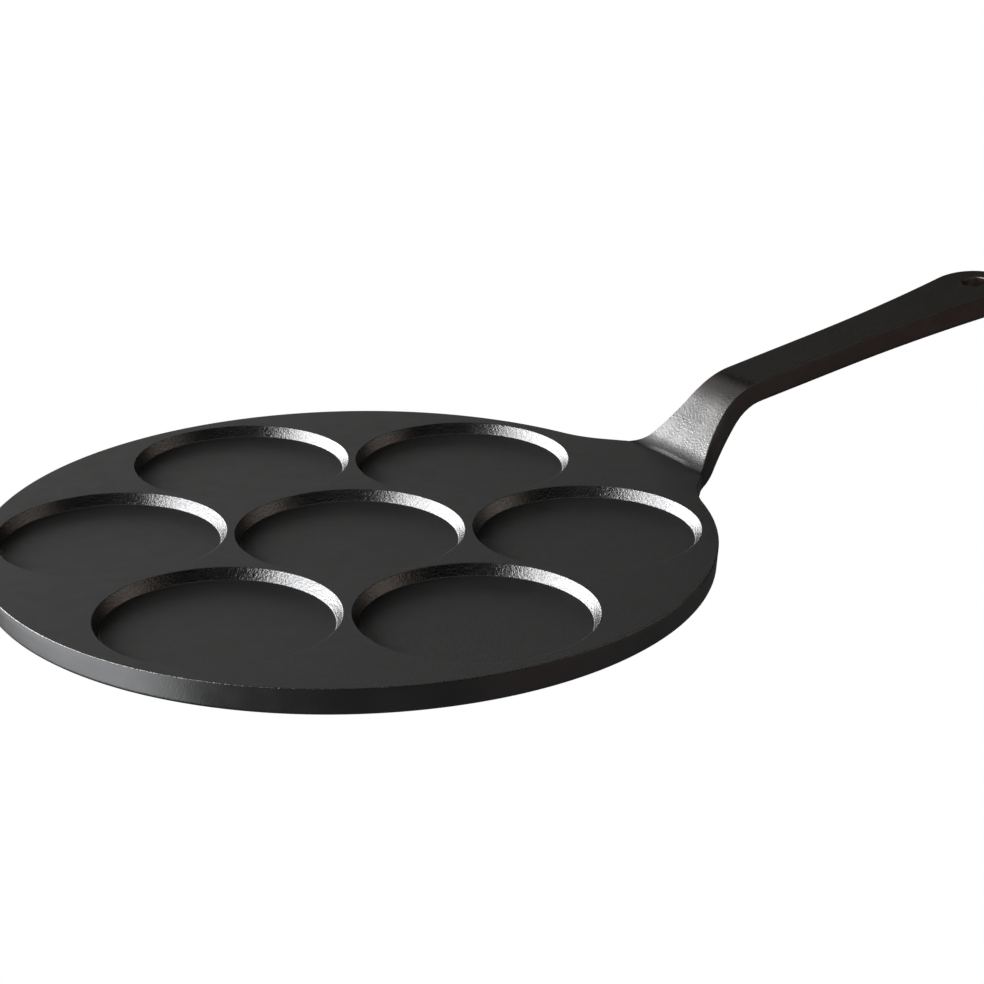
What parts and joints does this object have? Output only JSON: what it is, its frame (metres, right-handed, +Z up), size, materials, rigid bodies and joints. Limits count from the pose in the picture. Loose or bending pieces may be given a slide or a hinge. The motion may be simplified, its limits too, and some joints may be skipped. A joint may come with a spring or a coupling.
{
  "type": "plett pan",
  "caption": "Round cast-iron griddle plate with shallow flat-floored wells for small pancakes, and a raised flat handle cast on at one side with a hanging eye.",
  "frame": {"origin": "middle of the plate's flat underside, which rests on the stove", "axes": "+X along the handle towards its tip, +Z up out of the wells, +Y to the left of someone who looks along the handle"},
  "size_m": [0.4023, 0.2406, 0.0532],
  "materials": {
    "plate_iron": "seasoned near-black sand-cast iron with a fine grain and a satin sheen, its top face turned flat",
    "handle_iron": "seasoned brown-black sand-cast iron with a fine grain and a satin sheen"
  },
  "bodies": {
    "root": {"griddle_plate": "plate_iron", "handle": "handle_iron"}
  },
  "joints": []
}
